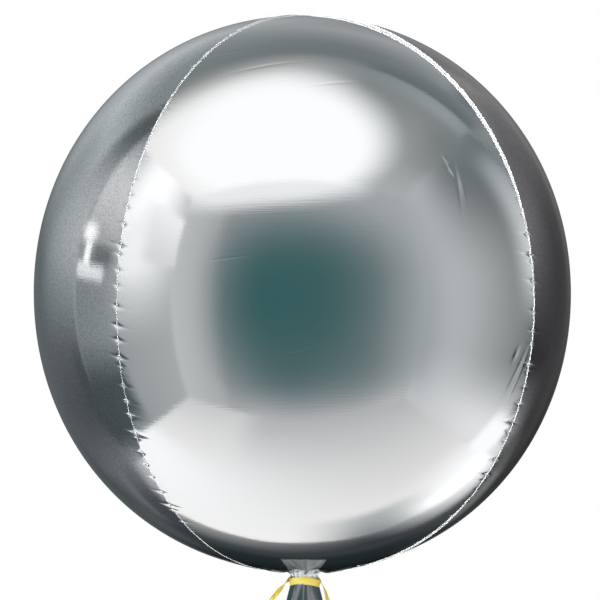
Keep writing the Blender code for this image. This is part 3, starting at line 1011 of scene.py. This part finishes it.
def ribbon_stock(ribbon):
    """The ribbon's tree and what it is told."""
    tree = bpy.data.node_groups.get("ribbed_ribbon") or ribbon_tree()
    name = "rolled_polypropylene_ribbon"
    return tree, {
        "Points": 4 * ribbon.ribs,
        "Ribbon": bpy.data.materials.get(name) or ribbon_material(name, ribbon.colour),
        "Width": ribbon.width,
        "Thickness": ribbon.thickness,
        "Ribs": float(ribbon.ribs),
        "Rib Height": ribbon.rib_height,
    }


class BALLOON_OT_studio(bpy.types.Operator):
    """Sets the camera, the pale floor, the light tent and the room behind it"""

    bl_idname = "foil_balloon.studio"
    bl_label = "Studio"

    def execute(self, context):
        studio = context.scene.foil_balloon.studio
        turn = Matrix.Rotation(studio.azimuth, 4, "Z")
        self.place_camera(context, studio, turn)
        self.lay_floor(studio)
        for wall, cards in STUDIO_CARDS.items():
            for layer, card in enumerate(cards):
                self.hang_card(turn, wall, layer, *card)
        self.hang_lamps(turn)
        self.paint_room(context, studio)
        context.scene.view_settings.view_transform = "Standard"
        return {"FINISHED"}

    def place_camera(self, context, studio, turn):
        data = bpy.data.cameras.new("camera")
        data.lens = studio.focal
        data.sensor_width = SENSOR_WIDTH
        camera = placed("camera", data)
        rise = Matrix.Rotation(studio.elevation, 4, "X").inverted()
        facing = (turn @ rise @ Matrix.Rotation(math.pi / 2, 4, "X")).to_3x3()
        eye = facing @ Vector((0, 0, studio.distance))
        aim = facing @ Vector((-studio.aim_left, -studio.aim_down, 0))
        way = (aim - eye).to_track_quat("-Z", "Y").to_matrix().to_4x4()
        camera.matrix_world = Matrix.Translation(eye) @ way
        context.scene.camera = camera

    def lay_floor(self, studio):
        bm = bmesh.new()
        bmesh.ops.create_circle(bm, cap_ends=True, segments=64, radius=FLOOR_RADIUS)
        bmesh.ops.translate(bm, vec=(0, 0, studio.floor_height), verts=bm.verts[:])
        material, tree = new_material("evenly_lit_white_paper")
        glow = add(tree, "ShaderNodeEmission", {"Color": (1, 1, 1, 1), "Strength": 1.0})
        add(tree, "ShaderNodeOutputMaterial", {"Surface": glow})
        floor = meshed("pale_floor", bm, material)
        floor.visible_glossy = False
        floor.visible_diffuse = False

    def hang_card(self, turn, wall, layer, name, across, up, half_across, half_up, *look):
        axis, place, across_axis, up_axis = WALLS[wall]
        centre = Vector((0, 0, 0))
        centre[axis] = place - math.copysign(CARD_STEP * layer, place)
        centre[across_axis] = across
        centre[up_axis] = up
        columns = [Vector((0, 0, 0)) for _ in range(3)]
        columns[0][across_axis] = half_across
        columns[1][up_axis] = half_up
        columns[2][axis] = 1.0
        basis = Matrix(columns).transposed().to_4x4()
        bm = bmesh.new()
        bmesh.ops.create_grid(bm, x_segments=1, y_segments=1, size=1.0)
        card = meshed(name, bm, card_material(name, *look))
        card.matrix_world = turn @ Matrix.Translation(centre) @ basis
        card.visible_camera = False

    def hang_lamps(self, turn):
        for number, (place, size, power) in enumerate(FILL_LAMPS):
            data = bpy.data.lights.new(f"soft_fill_{number}", "AREA")
            data.size = size
            data.energy = power
            lamp = placed(data.name, data)
            where = turn @ Vector(place)
            facing = (-where).to_track_quat("-Z", "Y").to_matrix().to_4x4()
            lamp.matrix_world = Matrix.Translation(where) @ facing
            lamp.visible_glossy = False
            lamp.visible_camera = False

    def paint_room(self, context, studio):
        world = bpy.data.worlds.new("studio_room")
        context.scene.world = world
        world.use_nodes = True
        tree = world.node_tree
        tree.nodes.clear()
        way = add(tree, "ShaderNodeTexCoord").outputs["Generated"]
        back = {"Vector": way, "Rotation": (0, 0, -studio.azimuth)}
        parts = add(tree, "ShaderNodeSeparateXYZ", {0: add(tree, "ShaderNodeMapping", back)})
        up = add(tree, "ShaderNodeMapRange", {"Value": parts.outputs["Z"], "From Min": -1.0})
        sides = []
        for colours in ROOM.values():
            ramp = add(tree, "ShaderNodeValToRGB", {0: up})
            stops = ramp.color_ramp.elements
            for number, colour in enumerate(colours):
                place = number / (len(colours) - 1)
                stop = stops[0] if number == 0 else stops[-1] if place == 1.0 else stops.new(place)
                stop.color = (*linear(colour), 1.0)
            sides.append(ramp)
        to_right = add(
            tree, "ShaderNodeMapRange",
            {"Value": parts.outputs["X"], "From Min": -0.3, "From Max": 0.3},
            interpolation_type="SMOOTHSTEP",
        )
        room = add(
            tree, "ShaderNodeMix", {"Factor": to_right, 6: sides[0], 7: sides[1]},
            data_type="RGBA",
        )
        seen = add(tree, "ShaderNodeLightPath").outputs["Is Camera Ray"]
        shown = add(
            tree, "ShaderNodeMix",
            {"Factor": seen, 6: room.outputs[2], 7: (1.0, 1.0, 1.0, 1.0)}, data_type="RGBA",
        )
        light = {"Color": shown.outputs[2], "Strength": 1.0}
        background = add(tree, "ShaderNodeBackground", light)
        add(tree, "ShaderNodeOutputWorld", {"Surface": background})


def faded_edge(tree, size, soft):
    """How much of a card shows at a share of its half size."""
    ends = {"From Min": 1.0 - soft, "From Max": 1.0, "To Min": 1.0, "To Max": 0.0}
    return add(
        tree, "ShaderNodeMapRange", {"Value": size, **ends}, interpolation_type="SMOOTHSTEP"
    )


def card_material(name, soft_across, soft_up, low, high, runs, strength):
    """A glowing cloth card whose edges fade out."""
    material, tree = new_material("lit_" + name)
    place = add(tree, "ShaderNodeTexCoord").outputs["Object"]
    spot = add(tree, "ShaderNodeSeparateXYZ", {0: place})
    x, y = spot.outputs["X"], spot.outputs["Y"]
    run = {"Value": x if runs == "across" else y, "From Min": -1.0}
    along = add(tree, "ShaderNodeMapRange", run)
    colour = add(
        tree, "ShaderNodeMix", {"Factor": along, 6: (*linear(low), 1.0), 7: (*linear(high), 1.0)},
        data_type="RGBA",
    )
    shader = add(tree, "ShaderNodeEmission", {"Color": colour.outputs[2], "Strength": strength})
    if soft_across:
        if name in ROUND_CARDS:
            level = add(tree, "ShaderNodeCombineXYZ", {"X": x, "Y": y})
            radius = add(tree, "ShaderNodeVectorMath", {0: level}, operation="LENGTH")
            shown = faded_edge(tree, radius.outputs["Value"], soft_across)
        else:
            sizes = [add(tree, "ShaderNodeMath", {0: way}, operation="ABSOLUTE") for way in (x, y)]
            edges = [faded_edge(tree, *edge) for edge in zip(sizes, (soft_across, soft_up))]
            shown = add(tree, "ShaderNodeMath", dict(enumerate(edges)), operation="MULTIPLY")
        clear = add(tree, "ShaderNodeBsdfTransparent")
        shader = add(tree, "ShaderNodeMixShader", {0: shown, 1: clear, 2: shader})
    add(tree, "ShaderNodeOutputMaterial", {"Surface": shader})
    return material


class BALLOON_OT_ribbon_ends(bpy.types.Operator):
    """Hangs the ribbon's two free ends from the knot"""

    bl_idname = "foil_balloon.ribbon_ends"
    bl_label = "Ribbon Ends"

    def execute(self, context):
        ribbon = context.scene.foil_balloon.ribbon
        for node, route in RIBBON_ROUTES.items():
            points = smooth_rows(route, RIBBON_STEPS)
            piece = grown(node + "_film", ribbon_path(node, points, False), *ribbon_stock(ribbon))
            piece.visible_glossy = False
            finish_piece(piece, "ribbon", node)
        return {"FINISHED"}


class BALLOON_OT_panels(bpy.types.Operator):
    """Makes the four film panels with their creases"""

    bl_idname = "foil_balloon.panels"
    bl_label = "Panels"

    def execute(self, context):
        settings = context.scene.foil_balloon
        envelope = settings.envelope
        film = film_material(
            "metallised_polyester_panel", envelope.film_tint, 0.07, 0.000018, 0.000017, dents=True
        )
        centre, reach = bowed_arc(envelope.middle_radius, envelope.ridge_radius)
        tree = panel_tree(bpy.data.node_groups.get("film_relief") or relief_tree())
        for name, facing, left_seam, right_seam in PANELS:
            values = {
                **film_values(settings),
                "Columns": envelope.columns,
                "Back Columns": envelope.back_columns,
                "Film": film,
                "Facing": math.radians(facing),
                "Left Seam": float(left_seam),
                "Right Seam": float(right_seam),
                "Bow Centre": centre,
                "Bow Reach": reach,
                "Depth": envelope.skin_depth,
            }
            piece = grown(name + "_film", bpy.data.meshes.new("start"), tree, values)
            finish_piece(piece, "panel_film", name)
        return {"FINISHED"}


class BALLOON_OT_seals(bpy.types.Operator):
    """Makes the four heat-sealed fins"""

    bl_idname = "foil_balloon.seals"
    bl_label = "Heat Seals"

    def execute(self, context):
        settings = context.scene.foil_balloon
        seal = settings.seal
        film = film_material("heat_sealed_film", seal.tint, 0.38, 0.00002, metal=0.3)
        tree = fin_tree(bpy.data.node_groups.get("film_relief") or relief_tree())
        for name, azimuth, number, lean, share in SEAMS:
            values = {
                **film_values(settings),
                "Columns": seal.columns,
                "Film": film,
                "azimuth": math.radians(azimuth),
                "Seam": float(number),
                "Ridge Radius": settings.envelope.ridge_radius,
                "Fin Height": seal.height * share,
                "Fin Thickness": seal.thickness,
                "Root Depth": seal.root,
                "Lean": math.tan(math.radians(lean)),
                "Crimp": seal.crimp,
                "Nib": seal.nib,
            }
            piece = grown(name + "_film", bpy.data.meshes.new("start"), tree, values)
            finish_piece(piece, "seam_film", name)
        return {"FINISHED"}


# height, half width along X, half depth along Y, share of the pleats, share of the side shift
NECK_SECTIONS = (
    (-0.1958, 0.0150, 0.0150, 0.2, 0.0),
    (-0.1966, 0.0165, 0.0165, 0.5, 0.1),
    (-0.1974, 0.0158, 0.0150, 0.8, 0.2),
    (-0.1982, 0.0140, 0.0122, 1.0, 0.4),
    (-0.1996, 0.0122, 0.0096, 1.0, 0.6),
    (-0.2012, 0.0108, 0.0076, 0.9, 0.9),
    (-0.2032, 0.0098, 0.0064, 0.6, 1.0),
    (-0.2064, 0.0095, 0.0061, 0.35, 1.0),
    (-0.2080, 0.0094, 0.0058, 0.10, 1.0),
    (-0.2090, 0.0086, 0.0046, 0.03, 1.0),
)

NECK_STEPS = 60

# How fast the pleats lean round the neck, in radians to a metre, and the height where they don't
PLEAT_LEAN = 22.0
PLEAT_HEIGHT = -0.2


def neck_rings(neck):
    """Rings of the neck, smoothed between its sections, with folds that lean and vary."""
    rings = []
    for height, half_width, half_depth, pleated, hung in smooth_rows(NECK_SECTIONS, NECK_STEPS):
        ring = []
        for step in range(neck.segments):
            angle = 2 * math.pi * step / neck.segments
            lean = angle + PLEAT_LEAN * (height - PLEAT_HEIGHT)
            # Two slow swings make the folds uneven, and a finer one breaks them up.
            swing = 0.55 * math.sin(3 * lean + 0.7) + 0.3 * math.sin(5 * lean + 2.1)
            fold = abs(math.sin(0.5 * (neck.pleats * lean + 2.0 * swing)))
            minor = 0.35 * math.sin(2.3 * neck.pleats * lean + 1.3 * swing)
            drawn = (1.0 - fold) ** 1.5 * (1.0 + swing) + 0.25 * minor
            share = 1.0 - neck.pleat_depth * pleated * drawn
            x = neck.shift * hung + half_width * share * math.cos(angle)
            ring.append((x, half_depth * share * math.sin(angle), height))
        rings.append(ring)
    return rings


class BALLOON_OT_neck(bpy.types.Operator):
    """Makes the gathered neck"""

    bl_idname = "foil_balloon.neck"
    bl_label = "Neck"

    def execute(self, context):
        settings = context.scene.foil_balloon
        film = film_material("gathered_film", settings.envelope.film_tint, 0.10, 0.00001)
        piece = lofted("neck_gather_film", neck_rings(settings.neck), film)
        finish_piece(piece, "tail_film", "neck_gather")
        return {"FINISHED"}


# share of the way down, half width, bulge of a ply, depth of its folds
TAIL_SECTIONS = (
    (0.0, 0.0101, 0.0053, 0.0003),
    (0.3, 0.0135, 0.0044, 0.0005),
    (0.65, 0.0172, 0.0042, 0.0007),
    (1.0, 0.0210, 0.0046, 0.0009),
)

# How far the middle of a sealed strip lies from the tail's own middle, and how far it ripples
SEAL_PLANE = 0.00021
SEAL_RIPPLE = 0.00006


def ply_point(tail, shift, across, row, side):
    """A point of a ply's middle surface."""
    down, half_width, bulge, fold_depth = row
    free = half_width - tail.seal
    x = across * half_width
    if abs(x) < free:
        share = x / free
        arch = (1.0 - share**2) ** 0.8
        # One broad fold, and a faint finer one that drifts down the ply.
        fold = 0.7 * math.cos(2.4 * math.pi * share + 0.8 * side)
        fold += 0.05 * math.cos(6.1 * math.pi * share + 1.1 + 2.2 * down)
        out = SEAL_PLANE + arch * (bulge + fold_depth * fold)
    else:
        out = SEAL_PLANE + side * SEAL_RIPPLE * math.sin(150.0 * down + 3.0 * across)
    return Vector((shift + x, side * out, tail.top - tail.length * down))


def turn_point(shift, angle, out, rise, drop):
    """A point of a turn of ribbon round the neck, with its tilt."""
    angle = math.radians(angle)
    half_width, half_depth = TIED_HALF_SIZES
    height = TIED_HEIGHT - rise * math.cos(2 * angle) - TIED_SLOPE * math.cos(angle) + drop
    x = shift + (half_width + out) * math.cos(angle)
    return (x, (half_depth + out) * math.sin(angle), height, 0.0)


def tied_knot(material, shift):
    """A tight overhand knot: a lump of ribbon with two bands drawn across it."""
    bm = bmesh.new()
    bmesh.ops.create_icosphere(bm, subdivisions=5, radius=1.0)
    shape = list(zip((shift, *KNOT_PLACE), KNOT_HALF_SIZES, KNOT_POWERS))
    for vert in bm.verts:
        x, y, z = vert.co
        band = math.cos(9.0 * (x + 0.55 * z)) + 0.5 * math.cos(21.0 * (z - 0.4 * x) + 1.0)
        swell = 1.0 + 0.05 * band
        vert.co = [
            middle + half * math.copysign(abs(part) ** power, part) * swell
            for part, (middle, half, power) in zip((x, y, z), shape)
        ]
    return meshed("ribbon_knot_film", bm, material)


class BALLOON_OT_tail(bpy.types.Operator):
    """Makes the filling tail's two plies"""

    bl_idname = "foil_balloon.tail"
    bl_label = "Tail"

    def execute(self, context):
        settings = context.scene.foil_balloon
        tail = settings.tail
        # The tail's film takes the darkened tail tint, which paints shade into its colour
        film = film_material("tail_film_with_painted_shade", tail.tint, 0.22, 0.00001)
        places = [2.0 * i / tail.columns - 1.0 for i in range(tail.columns + 1)]
        rows = smooth_rows(TAIL_SECTIONS, tail.rows)
        for node, side in (("tail_front", -1.0), ("tail_back", 1.0)):
            shift = settings.neck.shift
            rings = [
                [ply_point(tail, shift, across, row, side) for across in places] for row in rows
            ]
            piece = lofted(node + "_film", rings, film, closed_round=False)
            skin = piece.modifiers.new("film", "SOLIDIFY")
            skin.thickness = tail.film
            skin.offset = 0.0
            finish_piece(piece, "tail_film", node)
        return {"FINISHED"}


class BALLOON_OT_ribbon_tie(bpy.types.Operator):
    """Ties the ribbon round the neck and knots it behind"""

    bl_idname = "foil_balloon.ribbon_tie"
    bl_label = "Ribbon Tie"

    def execute(self, context):
        settings = context.scene.foil_balloon
        shift = settings.neck.shift
        tree, values = ribbon_stock(settings.ribbon)
        bm = bmesh.new()
        for number, (first, last, *way) in enumerate(RIBBON_TURNS):
            whole = last - first >= 360.0
            angles = [first + (last - first) * i / TURN_STEPS for i in range(TURN_STEPS + 1)]
            points = [turn_point(shift, angle, *way) for angle in angles]
            path = ribbon_path("turn", points[:-1] if whole else points, whole)
            turn = grown(f"ribbon_turn_{number}", path, tree, values)
            bm.from_mesh(turn.data)
            bpy.data.objects.remove(turn)
        wrap = meshed("ribbon_wrap_film", bm, values["Ribbon"])
        wrap.visible_glossy = False
        finish_piece(wrap, "ribbon", "ribbon_wrap")
        finish_piece(tied_knot(values["Ribbon"], shift), "ribbon", "ribbon_knot")
        return {"FINISHED"}


class BALLOON_PT_sidebar(bpy.types.Panel):
    """Lists the balloon's pieces and sizes"""

    bl_label = "Foil Balloon"
    bl_space_type = "VIEW_3D"
    bl_region_type = "UI"
    bl_category = "Balloon"

    def draw(self, context):
        settings = context.scene.foil_balloon
        for operator in OPERATORS:
            self.layout.operator(operator.bl_idname)
        for group in BalloonSettings.__annotations__:
            box = self.layout.box()
            box.label(text=group.capitalize())
            part = getattr(settings, group)
            for name in type(part).__annotations__:
                box.prop(part, name)


GROUPS = (
    EnvelopeSizes, CreaseSizes, SealSizes, NeckSizes, TailSizes, RibbonSizes, StudioSizes,
    BalloonSettings,
)

OPERATORS = (
    BALLOON_OT_studio, BALLOON_OT_ribbon_ends, BALLOON_OT_panels, BALLOON_OT_seals,
    BALLOON_OT_neck, BALLOON_OT_tail, BALLOON_OT_ribbon_tie,
)

CLASSES = (*GROUPS, *OPERATORS, BALLOON_PT_sidebar)


def register():
    for cls in CLASSES:
        bpy.utils.register_class(cls)
    bpy.types.Scene.foil_balloon = PointerProperty(type=BalloonSettings)


def unregister():
    del bpy.types.Scene.foil_balloon
    for cls in reversed(CLASSES):
        bpy.utils.unregister_class(cls)


def main():
    register()
    for operator in OPERATORS:
        area, name = operator.bl_idname.split(".")
        getattr(getattr(bpy.ops, area), name)()


if __name__ == "__main__":
    main()
